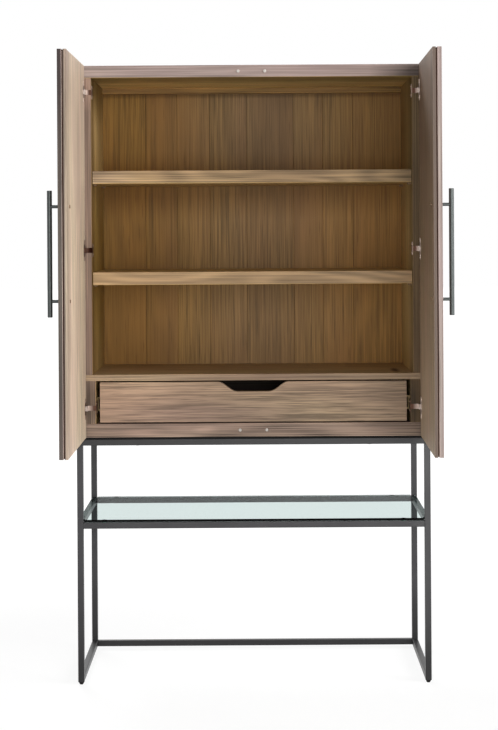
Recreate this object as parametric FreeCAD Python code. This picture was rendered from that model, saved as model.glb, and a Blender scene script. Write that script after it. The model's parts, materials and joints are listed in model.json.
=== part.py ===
import FreeCAD, Part
import os

# Bar cabinet with two doors, two loose shelves, a drawer and a steel stand
# x runs to the right, y to the back and z up, in millimetres
# the pieces are drawn about the middle of the stand, and are moved at the end
# so that zero is on the floor under the middle of the whole with its doors open

V = FreeCAD.Vector

# Stand sizes
stand_width = 914.0
stand_depth = 412.0
stand_top = 634.0
tube = 16.0
tube_wall = 1.5
tube_round = 2.0
glide_height = 7.0
glide_foot_radius = 4.5
glide_head_radius = 7.6
glide_plug_radius = 6.0
glide_plug_height = 12.0
shelf_ring_bottom = 403.0

# Glass shelf sizes
glass_thick = 6.0
glass_pad_height = 1.0
glass_pad_radius = 6.0
glass_edge_inset = 3.0
glass_notch_gap = 2.0
glass_round = 1.0
glass_pad_inset = 70.0

# Strips and bolts between the stand and the case
strip_height = 5.0
strip_width = 10.0
strip_inset = 3.0
bolt_radius = 3.0
bolt_hole_gap = 0.2
bolt_head_radius = 5.0
bolt_head_height = 4.0
bolt_depth = 20.0
bolt_spread = 300.0

# Case sizes
case_side_inset = 3.0
case_height = 961.0
top_thick = 32.0
bottom_thick = 35.0
upper_side_thick = 40.0
lower_side_thick = 47.5
divider_thick = 16.0
drawer_bay_height = 111.0
back_thick = 18.0
back_recess = 34.0
back_rebate = 10.0
back_board_shares = (0.150, 0.104, 0.107, 0.121, 0.154, 0.096, 0.099, 0.169)
cleat_height = 16.0
cleat_depth = 18.0
screw_clearance = 0.05

# Shelf and shelf pin sizes
shelf_thick = 33.0
shelf_end_gap = 1.2
shelf_set_back = 8.0
shelf_back_gap = 4.0
lower_shelf_share = 0.302
upper_shelf_share = 0.644
seat_gap = 0.3
pin_radius = 2.5
pin_plug_length = 10.0
pin_tab_length = 9.0
pin_tab_width = 10.0
pin_tab_height = 5.0
pin_front_inset = 45.0
pin_back_inset = 60.0

# Door sizes
door_thick_outer = 10.5
door_thick_core = 3.5
door_thick_inner = 7.0
door_core_inset = 2.0
door_gap = 3.0
door_edge_inset = 1.5
door_reveal = 1.0
door_corner_round = 2.5
left_open_angle = 90.0
right_open_angle = 89.0

# Hinge sizes, with the pivot in from the case side and in front of the case
pivot_in = 11.0
pivot_out = 14.5
hinge_low_inset = 75.0
hinge_high_inset = 68.0
cup_radius = 17.5
cup_wall = 0.8
cup_floor = 0.6
cup_centre_inset = 22.0
cup_clear = 0.5
cup_bore_gap = 0.1
flange_thick = 1.2
flange_height = 54.0
flange_width = 20.0
flange_ring_radius = 18.3
hinge_pin_radius = 1.2
knuckle_radius = 2.4
knuckle_gap = 0.06
arm_height = 13.0
arm_thick = 1.2
arm_reach = 15.0
arm_plate_depth = 24.0
arm_plate_height = 34.0
arm_screw_spread = 11.0
arm_screw_inset = 14.0
arm_screw_head_radius = 3.6
arm_screw_head_height = 1.2
arm_screw_radius = 1.8
arm_screw_length = 14.0
cup_screw_spread = 22.5
cup_screw_head_radius = 3.4
cup_screw_head_height = 0.8
cup_screw_radius = 1.6
cup_screw_length = 11.0

# Handle sizes
handle_length = 300.0
handle_radius = 6.0
handle_stand_off = 26.0
handle_post_spread = 224.0
handle_post_radius = 4.0
handle_post_seat = 3.0
handle_edge_inset = 62.0
handle_screw_radius = 2.0
handle_screw_gap = 0.2
handle_screw_head_radius = 4.2
handle_screw_head_height = 2.2
handle_screw_depth = 12.0
handle_end_round = 0.8

# Door bumper sizes
bumper_radius = 4.0
bumper_height = 2.6
bumper_dome = 1.2
bumper_spread = 34.5

# Drawer sizes
drawer_side_gap = 10.0
drawer_gap_below = 3.5
drawer_gap_above = 4.0
drawer_front_thick = 20.0
drawer_front_set_back = 2.0
drawer_wall = 12.0
drawer_box_gap_below = 9.0
drawer_box_gap_above = 22.0
drawer_back_gap = 13.0
drawer_base_thick = 6.0
drawer_base_lift = 10.0
drawer_groove_depth = 6.0
grip_half_top = 92.0
grip_half_bottom = 38.5
grip_depth = 25.5
grip_bend_top = 20.0
grip_bend_bottom = 23.5

# Drawer slide sizes
slide_space = 12.7
slide_metal = 1.2
slide_half_height = 17.5
slide_front_inset = 30.0
slide_back_gap = 10.0
slide_running_gap = 0.3
slide_outer_reach = 9.0
slide_middle_start = 3.0
slide_middle_reach = 6.7
slide_inner_reach = 7.7

# Places worked out from the sizes
half_w = stand_width / 2
half_d = stand_depth / 2
front = -half_d
case_half = half_w - case_side_inset
case_bottom = stand_top + strip_height
case_top = case_bottom + case_height
case_back = half_d
bottom_top = case_bottom + bottom_thick
top_under = case_top - top_thick
divider_bottom = bottom_top + drawer_bay_height
divider_top = divider_bottom + divider_thick
upper_in = case_half - upper_side_thick
lower_in = case_half - lower_side_thick
back_front = case_back - back_recess - back_thick
back_edge = upper_in + back_rebate
door_thick = door_thick_outer + door_thick_core + door_thick_inner
door_low = case_bottom + door_reveal
door_high = case_top - door_reveal
door_inner = front - door_gap
door_outer = door_inner - door_thick
door_middle = (door_low + door_high) / 2
hinge_low = door_low + hinge_low_inset
hinge_high = door_high - hinge_high_inset
hinge_heights = (hinge_low, (hinge_low + hinge_high) / 2, hinge_high)
door_hinge_edge = -case_half + door_edge_inset
door_free_edge = -door_gap / 2
handle_x = door_free_edge - handle_edge_inset
handle_heights = (door_middle - handle_post_spread / 2, door_middle + handle_post_spread / 2)
handle_seat_inner = handle_radius - handle_post_seat
cup_x = door_hinge_edge + cup_centre_inset
cup_depth = pivot_out - door_gap + knuckle_radius + cup_clear + cup_floor
glass_bottom = shelf_ring_bottom + tube + glass_pad_height
pivot = V(-case_half + pivot_in, front - pivot_out, 0)
right_pivot = V(-pivot.x, pivot.y, 0)
door_reach = pivot.y + pivot.x - door_free_edge
middle_shift = V(0, -(door_reach + case_back) / 2, 0)
pin_offset = cup_x - pivot.x
cup_mid_wall = cup_radius - cup_wall / 2
hinge_pin_half_length = (cup_mid_wall ** 2 - pin_offset ** 2) ** 0.5
clear_height = top_under - divider_top
lower_shelf_bottom = divider_top + clear_height * lower_shelf_share
upper_shelf_bottom = divider_top + clear_height * upper_shelf_share
drawer_low = bottom_top + drawer_gap_below
drawer_high = divider_bottom - drawer_gap_above
drawer_front_face = front + drawer_front_set_back
drawer_box_front = drawer_front_face + drawer_front_thick
drawer_box_half = lower_in - slide_space
drawer_box_low = bottom_top + drawer_box_gap_below
drawer_box_high = divider_bottom - drawer_box_gap_above
drawer_box_back = back_front - drawer_back_gap
slide_middle_height = (drawer_box_low + drawer_box_high) / 2
slide_front = front + slide_front_inset
slide_back = back_front - slide_back_gap
slide_middle_half = slide_half_height - slide_metal - slide_running_gap
slide_inner_half = slide_middle_half - slide_metal - slide_running_gap
along_x, along_y, along_z = V(1, 0, 0), V(0, 1, 0), V(0, 0, 1)


def block(x0, x1, y0, y1, z0, z1):
    """A box between two corners."""
    return Part.makeBox(x1 - x0, y1 - y0, z1 - z0, V(x0, y0, z0))


def rod(radius, start, end):
    """A round rod between two points."""
    along = end.sub(start)
    return Part.makeCylinder(radius, along.Length, start, along)


def mirrored(shape):
    """The same shape on the other side of the middle plane."""
    return shape.mirror(V(0, 0, 0), V(1, 0, 0))


def both_sides(shape):
    """A shape and its mirror image as separate solids."""
    return Part.makeCompound([shape, mirrored(shape)])


def edges_along(box, axis):
    """The edges of a box that run along one axis."""
    found = []
    for edge in box.Edges:
        start, end = [v.Point for v in edge.Vertexes]
        if end.sub(start).cross(axis).Length < edge.Length / 2:
            found.append(edge)
    return found


def tube_piece(x0, x1, y0, y1, z0, z1, axis):
    """A square tube with round corners, open at both ends along the given axis."""
    outer = block(x0, x1, y0, y1, z0, z1)
    outer = outer.makeFillet(tube_round, edges_along(outer, axis))
    t = tube_wall
    inset = [0 if part else t for part in axis]
    inner = block(
        x0 + inset[0], x1 - inset[0], y0 + inset[1], y1 - inset[1], z0 + inset[2], z1 - inset[2]
    )
    return outer.cut(inner)


# Stand, where side -1 is the left, end -1 is the front and 1 the other

def outer_place(half, side):
    """Where a tube starts that lies along the outside of the stand."""
    return -half if side < 0 else half - tube


def leg(side, end):
    """One upright leg, from above its glide to the top rails."""
    x0 = outer_place(half_w, side)
    y0 = outer_place(half_d, end)
    return tube_piece(x0, x0 + tube, y0, y0 + tube, glide_height, stand_top - tube, along_z)


def long_top_rail(end):
    """A top rail across the full width, closed at its ends and bored for the case bolts."""
    y0 = outer_place(half_d, end)
    rail = tube_piece(-half_w, half_w, y0, y0 + tube, stand_top - tube, stand_top, along_x)
    cap = block(
        -half_w, tube_wall - half_w, y0 + tube_wall, y0 + tube - tube_wall,
        stand_top - tube + tube_wall, stand_top - tube_wall,
    )
    rail = rail.fuse([cap, mirrored(cap)]).removeSplitter()
    for x in (-bolt_spread, bolt_spread):
        low = V(x, y0 + tube / 2, stand_top - tube)
        high = V(x, y0 + tube / 2, stand_top)
        rail = rail.cut(rod(bolt_radius + bolt_hole_gap, low, high))
    return rail


def side_rail(side, bottom):
    """A rail from front to back between the legs or the long rails."""
    x0 = outer_place(half_w, side)
    return tube_piece(x0, x0 + tube, tube - half_d, half_d - tube, bottom, bottom + tube, along_y)


def cross_rail(end, bottom):
    """A rail from left to right between two legs."""
    y0 = outer_place(half_d, end)
    return tube_piece(tube - half_w, half_w - tube, y0, y0 + tube, bottom, bottom + tube, along_x)


def leg_centres():
    """Where the four legs stand on the floor."""
    x = half_w - tube / 2
    y = half_d - tube / 2
    return [(-x, -y), (x, -y), (-x, y), (x, y)]


def foot_glides():
    """Four tapered feet, each with a plug up into its leg."""
    feet = []
    for x, y in leg_centres():
        foot = Part.makeCone(glide_foot_radius, glide_head_radius, glide_height, V(x, y, 0))
        plug = rod(glide_plug_radius, V(x, y, glide_height), V(x, y, glide_height + glide_plug_height))
        feet.append(foot.fuse(plug))
    return Part.makeCompound(feet)


def case_strips():
    """Four dark strips that keep the case a little above the stand."""
    x = half_w - strip_inset
    y = half_d - strip_inset
    z0, z1 = stand_top, case_bottom
    front_strip = block(strip_width - x, x - strip_width, -y, strip_width - y, z0, z1)
    back_strip = block(strip_width - x, x - strip_width, y - strip_width, y, z0, z1)
    side_strip = block(-x, strip_width - x, -y, y, z0, z1)
    for bx, by in bolt_places():
        hole = rod(bolt_radius + bolt_hole_gap, V(bx, by, z0), V(bx, by, z1))
        front_strip = front_strip.cut(hole)
        back_strip = back_strip.cut(hole)
    return Part.makeCompound([front_strip, back_strip, side_strip, mirrored(side_strip)])


def bolt_places():
    """Where the four stand bolts go up into the case."""
    y = half_d - tube / 2
    return [(sx * bolt_spread, sy * y) for sx in (-1, 1) for sy in (-1, 1)]


def stand_bolts():
    """Four bolts from under the long rails up into the bottom board."""
    bolts = []
    under = stand_top - tube
    for x, y in bolt_places():
        head = rod(bolt_head_radius, V(x, y, under - bolt_head_height), V(x, y, under))
        shank = rod(bolt_radius, V(x, y, under), V(x, y, case_bottom + bolt_depth))
        bolts.append(head.fuse(shank))
    return Part.makeCompound(bolts)


# Glass shelf

def glass_shelf():
    """A glass plate over the whole ring, notched round the legs."""
    x = half_w - glass_edge_inset
    y = half_d - glass_edge_inset
    top = glass_bottom + glass_thick
    plate = block(-x, x, -y, y, glass_bottom, top)
    nx = half_w - tube - glass_notch_gap
    ny = half_d - tube - glass_notch_gap
    for sx in (-1, 1):
        for sy in (-1, 1):
            xs = sorted((sx * nx, sx * half_w))
            ys = sorted((sy * ny, sy * half_d))
            plate = plate.cut(block(xs[0], xs[1], ys[0], ys[1], glass_bottom, top))
    rim = []
    for edge in plate.Edges:
        ends = [v.Point for v in edge.Vertexes]
        if abs(ends[0].z - ends[1].z) < glass_round:
            rim.append(edge)
    return plate.makeChamfer(glass_round, rim)


def glass_pads():
    """Small soft discs on the ring that carry the glass."""
    z0 = shelf_ring_bottom + tube
    x = half_w - tube / 2
    y = half_d - tube / 2
    places = []
    for sx in (-1, 1):
        for sy in (-1, 1):
            places.append((sx * (half_w - glass_pad_inset), sy * y))
            places.append((sx * x, sy * (half_d - glass_pad_inset)))
    pads = [rod(glass_pad_radius, V(px, py, z0), V(px, py, glass_bottom)) for px, py in places]
    return Part.makeCompound(pads)


# Case boards

def top_board():
    """The top board, over the ends of the sides."""
    return block(-case_half, case_half, front, case_back, top_under, case_top)


def bottom_board():
    """The bottom board, with pilot holes for the stand bolts."""
    board = block(-case_half, case_half, front, case_back, case_bottom, bottom_top)
    for x, y in bolt_places():
        start = V(x, y, case_bottom)
        board = board.cut(rod(bolt_radius + screw_clearance, start, V(x, y, case_bottom + bolt_depth)))
    return board


def side_board(inside, z0, z1):
    """A side board on the left, with a step at the back for the back boards."""
    board = block(-case_half, -inside, front, case_back, z0, z1)
    return board.cut(block(-back_edge, -inside, back_front, case_back, z0, z1))


def pin_places():
    """Depth places of the shelf pins."""
    return (front + pin_front_inset, back_front - pin_back_inset)


def upper_side():
    """The left upper side, with holes for the shelf pins and hinge screws."""
    board = side_board(upper_in, divider_top, top_under)
    for shelf_bottom in (lower_shelf_bottom, upper_shelf_bottom):
        z = shelf_bottom - seat_gap - pin_tab_height / 2
        for y in pin_places():
            start = V(-upper_in, y, z)
            end = V(-upper_in - pin_plug_length, y, z)
            board = board.cut(rod(pin_radius + screw_clearance, start, end))
    for z in hinge_heights[1:]:
        board = board.cut(arm_screw_holes(upper_in, z))
    return board


def lower_side():
    """The left lower side beside the drawer, thicker to carry the slide."""
    board = side_board(lower_in, bottom_top, divider_bottom)
    return board.cut(arm_screw_holes(lower_in, hinge_heights[0]))


def divider_board():
    """The board between the drawer and the shelves, over the lower sides."""
    board = block(-case_half, case_half, front, case_back, divider_bottom, divider_top)
    return board.cut(block(-back_edge, back_edge, back_front, case_back, divider_bottom, divider_top))


def back_boards():
    """Upright boards of mixed widths, edge to edge, that close the back."""
    boards = []
    whole = sum(back_board_shares)
    x = -back_edge
    for share in back_board_shares:
        x1 = x + 2 * back_edge * share / whole
        boards.append(block(x, x1, back_front, back_front + back_thick, bottom_top, top_under))
        x = x1
    return Part.makeCompound(boards)


def rear_cleat():
    """A rail under the top board, in front of the back boards."""
    return block(
        -upper_in, upper_in, back_front - cleat_depth, back_front, top_under - cleat_height, top_under
    )


# Shelves

def shelf(bottom):
    """A loose shelf between the upper sides."""
    half = upper_in - shelf_end_gap
    y0 = front + shelf_set_back
    return block(-half, half, y0, back_front - shelf_back_gap, bottom, bottom + shelf_thick)


def shelf_pins():
    """Eight pins with flat tabs, four under each shelf."""
    pins = []
    for shelf_bottom in (lower_shelf_bottom, upper_shelf_bottom):
        top = shelf_bottom - seat_gap
        z = top - pin_tab_height / 2
        for y in pin_places():
            half = pin_tab_width / 2
            tab = block(-upper_in, pin_tab_length - upper_in, y - half, y + half, top - pin_tab_height, top)
            plug = rod(pin_radius, V(-upper_in, y, z), V(-upper_in - pin_plug_length, y, z))
            pin = tab.fuse(plug)
            pins += [pin, mirrored(pin)]
    return Part.makeCompound(pins)


# Doors, drawn shut on the left and then turned open or mirrored

def turned(shape, mirror):
    """A shut left door piece, opened as in the photograph, or its right twin."""
    if mirror:
        shape = mirrored(shape)
        shape.rotate(right_pivot, along_z, right_open_angle)
        return shape
    shape = shape.copy()
    shape.rotate(pivot, along_z, -left_open_angle)
    return shape


def cup_bores():
    """The round pockets for the hinge cups."""
    radius = cup_radius + cup_bore_gap
    pockets = [
        rod(radius, V(cup_x, door_inner, z), V(cup_x, door_inner - cup_depth, z)) for z in hinge_heights
    ]
    return Part.makeCompound(pockets)


def door_screw_holes():
    """Holes through the door for the handle screws, and pilot holes for the cup screws."""
    radius = handle_screw_radius + handle_screw_gap
    holes = [
        rod(radius, V(handle_x, door_inner, z), V(handle_x, door_outer, z)) for z in handle_heights
    ]
    for x, z in cup_screw_places():
        end = V(x, door_inner - cup_screw_length, z)
        holes.append(rod(cup_screw_radius + screw_clearance, V(x, door_inner, z), end))
    return Part.makeCompound(holes)


def door_leaf(y_in, thick, inset):
    """One layer of a door, bored for the cups and screws."""
    leaf = block(
        door_hinge_edge + inset, door_free_edge - inset, y_in - thick, y_in,
        door_low + inset, door_high - inset,
    )
    return leaf.cut(cup_bores()).cut(door_screw_holes())


def outer_leaf():
    """The face layer of a door."""
    y_in = door_inner - door_thick_inner - door_thick_core
    return door_leaf(y_in, door_thick_outer, 0)


def core_leaf():
    """The middle layer, set in so that a dark groove runs round the door."""
    return door_leaf(door_inner - door_thick_inner, door_thick_core, door_core_inset)


def inner_leaf():
    """The inside layer, its hinge corner rounded to clear the case."""
    leaf = block(
        door_hinge_edge, door_free_edge, door_inner - door_thick_inner, door_inner, door_low, door_high
    )
    corner = [
        e for e in edges_along(leaf, along_z)
        if abs(e.Vertexes[0].X - door_hinge_edge) < door_reveal
        and abs(e.Vertexes[0].Y - door_inner) < door_reveal
    ]
    leaf = leaf.makeFillet(door_corner_round, corner)
    return leaf.cut(cup_bores()).cut(door_screw_holes())


def handle_bar():
    """A round bar with two seats for its posts."""
    y = door_outer - handle_stand_off
    low = V(handle_x, y, door_middle - handle_length / 2)
    high = V(handle_x, y, door_middle + handle_length / 2)
    bar = rod(handle_radius, low, high)
    rims = [e for e in bar.Edges if e.Closed]
    bar = bar.makeChamfer(handle_end_round, rims)
    for z in handle_heights:
        start = V(handle_x, y + handle_seat_inner, z)
        seat = rod(handle_post_radius + screw_clearance, start, V(handle_x, y + handle_radius, z))
        bar = bar.cut(seat)
    return bar


def handle_posts():
    """Two posts between the door and the bar, tapped for the screws."""
    posts = []
    y = door_outer - handle_stand_off + handle_seat_inner
    for z in handle_heights:
        post = rod(handle_post_radius, V(handle_x, door_outer, z), V(handle_x, y, z))
        tap = rod(
            handle_screw_radius + screw_clearance,
            V(handle_x, door_outer, z), V(handle_x, door_outer - handle_screw_depth, z),
        )
        posts.append(post.cut(tap))
    return Part.makeCompound(posts)


def handle_screws():
    """Two screws from the inside of the door into the posts."""
    screws = []
    for z in handle_heights:
        face = V(handle_x, door_inner, z)
        head = rod(handle_screw_head_radius, face, V(handle_x, door_inner + handle_screw_head_height, z))
        shank = rod(handle_screw_radius, face, V(handle_x, door_outer - handle_screw_depth, z))
        screws.append(head.fuse(shank))
    return Part.makeCompound(screws)


# Hinges

def cup_screw_places():
    """Where the cup screws go, above and below each cup."""
    places = []
    for z in hinge_heights:
        places += [(cup_x, z - cup_screw_spread), (cup_x, z + cup_screw_spread)]
    return places


def hinge_cup(z):
    """A pressed cup with its flange and the pivot pin across it."""
    face = V(cup_x, door_inner, z)
    inside = cup_radius - cup_wall
    pot = rod(cup_radius, face, V(cup_x, door_inner - cup_depth, z))
    top = V(cup_x, door_inner + flange_thick, z)
    flange = rod(flange_ring_radius, face, top)
    plate = block(
        cup_x - flange_width / 2, cup_x + flange_width / 2, door_inner, door_inner + flange_thick,
        z - flange_height / 2, z + flange_height / 2,
    )
    cup = pot.fuse([flange, plate])
    cup = cup.cut(rod(inside, V(cup_x, door_inner - cup_depth + cup_floor, z), top))
    for side in (-1, 1):
        zs = z + side * cup_screw_spread
        hole = rod(
            cup_screw_radius + screw_clearance,
            V(cup_x, door_inner, zs), V(cup_x, door_inner + flange_thick, zs),
        )
        cup = cup.cut(hole)
    pin = rod(
        hinge_pin_radius, V(pivot.x, pivot.y, z - hinge_pin_half_length),
        V(pivot.x, pivot.y, z + hinge_pin_half_length),
    )
    return cup.fuse(pin)


def hinge_cups():
    """The three cups of a door."""
    return Part.makeCompound([hinge_cup(z) for z in hinge_heights])


def cup_screws():
    """Six flat screws that hold the cups in a door."""
    screws = []
    for x, z in cup_screw_places():
        seat = V(x, door_inner + flange_thick, z)
        head = rod(
            cup_screw_head_radius, seat, V(x, door_inner + flange_thick + cup_screw_head_height, z)
        )
        shank = rod(cup_screw_radius, seat, V(x, door_inner - cup_screw_length, z))
        screws.append(head.fuse(shank))
    return Part.makeCompound(screws)


def arm_screw_places(inside, z):
    """Where the two screws of a hinge arm enter a side board."""
    y = front + arm_screw_inset
    return [V(-inside, y, z - arm_screw_spread), V(-inside, y, z + arm_screw_spread)]


def arm_screw_holes(inside, z):
    """Pilot holes for the screws of one hinge arm on the left."""
    holes = [
        rod(arm_screw_radius + screw_clearance, p, p.sub(V(arm_screw_length, 0, 0)))
        for p in arm_screw_places(inside, z)
    ]
    return Part.makeCompound(holes)


def hinge_arm(inside, z):
    """A bent arm from the pivot pin, over the front edge, to a plate on the side."""
    half = arm_height / 2
    low, high = z - half, z + half
    x_rise = pivot.x + arm_reach
    knuckle = rod(knuckle_radius, V(pivot.x, pivot.y, low), V(pivot.x, pivot.y, high))
    y_strip = pivot.y - knuckle_radius
    strip = block(pivot.x, x_rise + arm_thick, y_strip, y_strip + arm_thick, low, high)
    riser = block(x_rise, x_rise + arm_thick, y_strip, front, low, high)
    over = block(x_rise, arm_thick - inside, front - arm_thick, front, low, high)
    plate_half = arm_plate_height / 2
    plate = block(
        -inside, arm_thick - inside, front, front + arm_plate_depth, z - plate_half, z + plate_half
    )
    arm = knuckle.fuse([strip, riser, over, plate])
    bore = rod(
        hinge_pin_radius + knuckle_gap, V(pivot.x, pivot.y, low), V(pivot.x, pivot.y, high)
    )
    arm = arm.cut(bore)
    for p in arm_screw_places(inside, z):
        arm = arm.cut(rod(arm_screw_radius + screw_clearance, p, p.add(V(arm_thick, 0, 0))))
    return arm.removeSplitter()


def arm_list():
    """Which side face each hinge arm is screwed to."""
    return [(lower_in, hinge_heights[0])] + [(upper_in, z) for z in hinge_heights[1:]]


def hinge_arms():
    """The six hinge arms of the case."""
    arms = []
    for inside, z in arm_list():
        arm = hinge_arm(inside, z)
        arms += [arm, mirrored(arm)]
    return Part.makeCompound(arms)


def arm_screws():
    """Twelve screws that hold the hinge arms."""
    screws = []
    for inside, z in arm_list():
        for p in arm_screw_places(inside, z):
            seat = p.add(V(arm_thick, 0, 0))
            head = rod(arm_screw_head_radius, seat, seat.add(V(arm_screw_head_height, 0, 0)))
            shank = rod(arm_screw_radius, seat, p.sub(V(arm_screw_length, 0, 0)))
            screw = head.fuse(shank)
            screws += [screw, mirrored(screw)]
    return Part.makeCompound(screws)


def door_bumpers():
    """Four soft domes on the front edges of the top and bottom boards."""
    bumpers = []
    for z in ((case_bottom + bottom_top) / 2, (case_top + top_under) / 2):
        for x in (-bumper_spread, bumper_spread):
            dome = rod(bumper_radius, V(x, front, z), V(x, front - bumper_height, z))
            rim = [e for e in dome.Edges if e.Closed and e.Vertexes[0].Y < front - bumper_dome]
            bumpers.append(dome.makeFillet(bumper_dome, rim))
    return Part.makeCompound(bumpers)


# Drawer

def drawer_front():
    """The inset front with a finger cut-out in its top edge."""
    half = lower_in - drawer_side_gap
    y0 = drawer_front_face
    board = block(-half, half, y0, drawer_box_front, drawer_low, drawer_high)
    z_low = drawer_high - grip_depth
    right = Part.BezierCurve()
    right.setPoles([
        V(grip_half_top, y0, drawer_high), V(grip_half_top - grip_bend_top, y0, drawer_high),
        V(grip_half_bottom + grip_bend_bottom, y0, z_low), V(grip_half_bottom, y0, z_low),
    ])
    left = Part.BezierCurve()
    left.setPoles([
        V(-grip_half_bottom, y0, z_low), V(-grip_half_bottom - grip_bend_bottom, y0, z_low),
        V(grip_bend_top - grip_half_top, y0, drawer_high), V(-grip_half_top, y0, drawer_high),
    ])
    floor = Part.makeLine(V(grip_half_bottom, y0, z_low), V(-grip_half_bottom, y0, z_low))
    lid = Part.makeLine(V(-grip_half_top, y0, drawer_high), V(grip_half_top, y0, drawer_high))
    wire = Part.Wire([right.toShape(), floor, left.toShape(), lid])
    grip = Part.Face(wire).extrude(V(0, drawer_front_thick, 0))
    return board.cut(grip)


def drawer_side():
    """The left wall of the drawer box, grooved for the base."""
    wall = block(
        -drawer_box_half, drawer_wall - drawer_box_half, drawer_box_front, drawer_box_back,
        drawer_box_low, drawer_box_high,
    )
    zb = drawer_box_low + drawer_base_lift
    groove = block(
        drawer_wall - drawer_groove_depth - drawer_box_half, drawer_wall - drawer_box_half,
        drawer_box_front, drawer_box_back, zb, zb + drawer_base_thick,
    )
    return wall.cut(groove)


def drawer_back():
    """The rear wall of the drawer box, over the base."""
    inside = drawer_box_half - drawer_wall
    z0 = drawer_box_low + drawer_base_lift + drawer_base_thick
    return block(
        -inside, inside, drawer_box_back - drawer_wall, drawer_box_back,
        z0, drawer_box_high,
    )


def drawer_base():
    """The base panel in the grooves of the side walls."""
    half = drawer_box_half - drawer_wall + drawer_groove_depth
    zb = drawer_box_low + drawer_base_lift
    return block(-half, half, drawer_box_front, drawer_box_back, zb, zb + drawer_base_thick)


# Drawer slides, left and right members of each kind as one node

def channel(x_web, reach, half_height):
    """A pressed channel with its web at x_web and its flanges reaching along x."""
    web_end = x_web + slide_metal if reach > 0 else x_web - slide_metal
    webs = sorted((x_web, web_end))
    ends = sorted((x_web, x_web + reach))
    z = slide_middle_height
    web = block(webs[0], webs[1], slide_front, slide_back, z - half_height, z + half_height)
    low = block(
        ends[0], ends[1], slide_front, slide_back, z - half_height, z - half_height + slide_metal
    )
    high = block(
        ends[0], ends[1], slide_front, slide_back, z + half_height - slide_metal, z + half_height
    )
    return web.fuse([low, high]).removeSplitter()


def slide_outers():
    """The fixed members, on the lower sides."""
    return both_sides(channel(-lower_in, slide_outer_reach, slide_half_height))


def slide_middles():
    """The middle members, which run half as far as the drawer."""
    return both_sides(channel(slide_middle_start - lower_in, slide_middle_reach, slide_middle_half))


def slide_inners():
    """The members on the drawer box."""
    return both_sides(channel(-drawer_box_half, -slide_inner_reach, slide_inner_half))


def nodes():
    """Every node of the part by name."""
    found = {
        "leg_front_left": leg(-1, -1),
        "leg_front_right": leg(1, -1),
        "leg_rear_left": leg(-1, 1),
        "leg_rear_right": leg(1, 1),
        "top_rail_front": long_top_rail(-1),
        "top_rail_rear": long_top_rail(1),
        "top_rail_left": side_rail(-1, stand_top - tube),
        "top_rail_right": side_rail(1, stand_top - tube),
        "shelf_rail_front": cross_rail(-1, shelf_ring_bottom),
        "shelf_rail_rear": cross_rail(1, shelf_ring_bottom),
        "shelf_rail_left": side_rail(-1, shelf_ring_bottom),
        "shelf_rail_right": side_rail(1, shelf_ring_bottom),
        "floor_rail_left": side_rail(-1, glide_height),
        "floor_rail_right": side_rail(1, glide_height),
        "floor_rail_rear": cross_rail(1, glide_height),
        "foot_glides": foot_glides(),
        "case_strips": case_strips(),
        "stand_bolts": stand_bolts(),
        "glass_pads": glass_pads(),
        "glass_shelf": glass_shelf(),
        "top_board": top_board(),
        "bottom_board": bottom_board(),
        "upper_side_left": upper_side(),
        "upper_side_right": mirrored(upper_side()),
        "lower_side_left": lower_side(),
        "lower_side_right": mirrored(lower_side()),
        "divider_board": divider_board(),
        "back_boards": back_boards(),
        "rear_cleat": rear_cleat(),
        "upper_shelf": shelf(upper_shelf_bottom),
        "lower_shelf": shelf(lower_shelf_bottom),
        "shelf_pins": shelf_pins(),
        "door_bumpers": door_bumpers(),
        "hinge_arms": hinge_arms(),
        "arm_screws": arm_screws(),
        "slide_outers": slide_outers(),
        "slide_middles": slide_middles(),
        "slide_inners": slide_inners(),
        "drawer_front": drawer_front(),
        "drawer_side_left": drawer_side(),
        "drawer_side_right": mirrored(drawer_side()),
        "drawer_back": drawer_back(),
        "drawer_base": drawer_base(),
    }
    door_pieces = {
        "outer_leaf": outer_leaf(),
        "core_leaf": core_leaf(),
        "inner_leaf": inner_leaf(),
        "handle_bar": handle_bar(),
        "handle_posts": handle_posts(),
        "handle_screws": handle_screws(),
        "hinge_cups": hinge_cups(),
        "cup_screws": cup_screws(),
    }
    for name, shape in door_pieces.items():
        found["left_" + name] = turned(shape, False)
        found["right_" + name] = turned(shape, True)
    return found


os.makedirs("parts", exist_ok=True)
for name, shape in nodes().items():
    shape.translate(middle_shift)
    shape.exportStep(os.path.join("parts", name + ".step"))
    print(name, "valid" if shape.isValid() else "NOT VALID", len(shape.Solids))
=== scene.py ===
import json
import math

import bpy
import numpy as np
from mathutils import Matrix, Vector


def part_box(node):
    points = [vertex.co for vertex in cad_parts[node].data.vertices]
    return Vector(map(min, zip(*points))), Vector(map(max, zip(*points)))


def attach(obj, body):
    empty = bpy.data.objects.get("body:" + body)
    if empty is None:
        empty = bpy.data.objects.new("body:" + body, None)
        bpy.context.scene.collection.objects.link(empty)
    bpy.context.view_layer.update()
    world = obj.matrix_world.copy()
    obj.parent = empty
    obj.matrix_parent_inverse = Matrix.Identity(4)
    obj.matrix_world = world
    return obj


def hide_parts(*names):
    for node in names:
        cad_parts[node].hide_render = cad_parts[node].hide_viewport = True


bl_info = {
    "name": "Bar cabinet on a steel stand",
    "version": (1, 0, 0),
    "blender": (4, 5, 0),
    "location": "3D View > Sidebar > Cabinet",
    "description": "Boards, doors, drawer, steel stand and studio of a bar cabinet",
    "category": "Object",
}

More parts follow.
